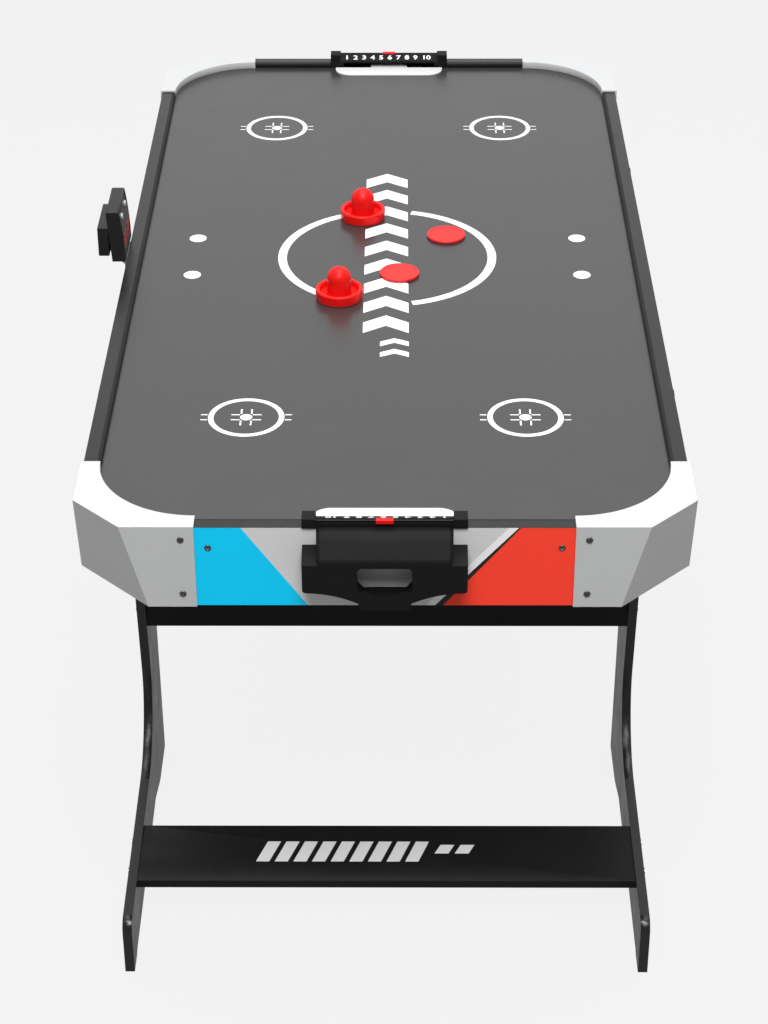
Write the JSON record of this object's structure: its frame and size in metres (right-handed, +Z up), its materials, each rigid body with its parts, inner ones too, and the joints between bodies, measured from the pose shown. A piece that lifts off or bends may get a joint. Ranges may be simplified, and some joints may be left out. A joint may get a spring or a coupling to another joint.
{
  "type": "air hockey table",
  "caption": "Free-standing air hockey table: laminated boards with moulded corners, L-shaped folding-style legs, goals with slide scorers and catchers, side scoreboard, strikers and pucks.",
  "frame": {"origin": "on the floor, under the centre of the playfield", "axes": "+Z up, +Y along the table to the far goal, +X to the right of a player at the near end"},
  "size_m": [0.7331, 1.44, 0.77],
  "materials": {
    "side_laminate": "satin black laminate on 15 mm board",
    "end_laminate": "printed laminate, cyan, grey and red bands",
    "playfield_laminate": "glossy black laminate with white markings and air holes",
    "raw_board": "raw fibreboard",
    "rail_plastic": "satin black",
    "white_plastic": "satin white moulding",
    "black_plastic": "fine grained black moulding",
    "leg_laminate": "satin black laminate with an edge band",
    "red_plastic": "glossy red moulding",
    "button_plastic": "silver grey caps",
    "puck_plastic": "glossy red disc",
    "steel": "zinc plated steel",
    "display_plastic": "smoked window over red digits",
    "circuit_board": "green laminate",
    "felt": "black needle felt",
    "grey_plastic": "grey moulding",
    "rocker_plastic": "glossy black rocker"
  },
  "bodies": {
    "table": {"base_panel": "raw_board", "battery_box": "black_plastic", "blower_grille": "grey_plastic", "blower_housing": "black_plastic", "blower_motor": "steel", "bracket_screws": "steel", "chamber_battens": "raw_board", "corner_blocks": "raw_board", "corner_cap_far_left": "white_plastic", "corner_cap_far_right": "white_plastic", "corner_cap_near_left": "white_plastic", "corner_cap_near_right": "white_plastic", "corner_cap_screws": "steel", "cross_panel_far": "leg_laminate", "cross_panel_near": "leg_laminate", "end_board_far": "end_laminate", "end_board_near": "end_laminate", "end_board_screws": "steel", "foot_board_far": "leg_laminate", "foot_board_near": "leg_laminate", "goal_plate_far": "white_plastic", "goal_plate_near": "white_plastic", "leg_bolt_covers": "black_plastic", "leg_bolts": "steel", "leg_far_left": "leg_laminate", "leg_far_right": "leg_laminate", "leg_frame_screws": "steel", "leg_near_left": "leg_laminate", "leg_near_right": "leg_laminate", "playfield_board": "playfield_laminate", "power_panel": "black_plastic", "puck_catcher_far": "black_plastic", "puck_catcher_near": "black_plastic", "rail_strip_left": "rail_plastic", "rail_strip_right": "rail_plastic", "rail_strips_far": "rail_plastic", "rail_strips_near": "rail_plastic", "scoreboard_bracket": "steel", "scoreboard_circuit": "circuit_board", "scoreboard_face": "display_plastic", "scoreboard_housing": "black_plastic", "scorer_frame_far": "black_plastic", "scorer_frame_near": "black_plastic", "scorer_rod_far": "steel", "scorer_rod_near": "steel", "side_board_left": "side_laminate", "side_board_right": "side_laminate"},
    "bead_near": {"scorer_bead_near": "red_plastic"},
    "bead_far": {"scorer_bead_far": "red_plastic"},
    "near_striker": {"striker_near": "red_plastic", "striker_felt_near": "felt"},
    "far_striker": {"striker_far": "red_plastic", "striker_felt_far": "felt"},
    "near_puck": {"puck_near": "puck_plastic"},
    "far_puck": {"puck_far": "puck_plastic"},
    "near_button": {"score_button_near": "button_plastic"},
    "far_button": {"score_button_far": "button_plastic"},
    "impeller": {"blower_impeller": "grey_plastic"},
    "rocker": {"power_rocker": "rocker_plastic"}
  },
  "joints": [
    {"name": "bead_near_slide", "type": "slide", "parent": "table", "child": "bead_near", "axis": [1, 0, 0], "range_m": [-0.0654, 0.0654]},
    {"name": "bead_far_slide", "type": "slide", "parent": "table", "child": "bead_far", "axis": [1, 0, 0], "range_m": [-0.0654, 0.0654]},
    {"name": "striker_near_slide", "type": "slide", "parent": "table", "child": "near_striker", "axis": [0, 1, 0], "range_m": [-0.476, 0.088]},
    {"name": "striker_far_slide", "type": "slide", "parent": "table", "child": "far_striker", "axis": [0, 1, 0], "range_m": [-0.09, 0.474]},
    {"name": "puck_near_slide", "type": "slide", "parent": "table", "child": "near_puck", "axis": [0, 1, 0], "range_m": [-0.5465, 0.0533]},
    {"name": "puck_far_slide", "type": "slide", "parent": "table", "child": "far_puck", "axis": [0, 1, 0], "range_m": [-0.662, 0.5425]},
    {"name": "score_button_near_press", "type": "slide", "parent": "table", "child": "near_button", "axis": [-1, 0, 0], "range_m": [0, 0.0015], "stiffness_N_per_m": 150, "springref_m": -0.002},
    {"name": "score_button_far_press", "type": "slide", "parent": "table", "child": "far_button", "axis": [-1, 0, 0], "range_m": [0, 0.0015], "stiffness_N_per_m": 150, "springref_m": -0.002},
    {"name": "impeller_spin", "type": "hinge", "parent": "table", "child": "impeller", "pos_m": [0, 0, 0.615], "axis": [0, 0, 1], "continuous": true},
    {"name": "power_rocker_tilt", "type": "hinge", "parent": "table", "child": "rocker", "pos_m": [0.345, 0.074, 0.642], "axis": [0, 0, 1], "range_deg": [-20, 0]}
  ]
}
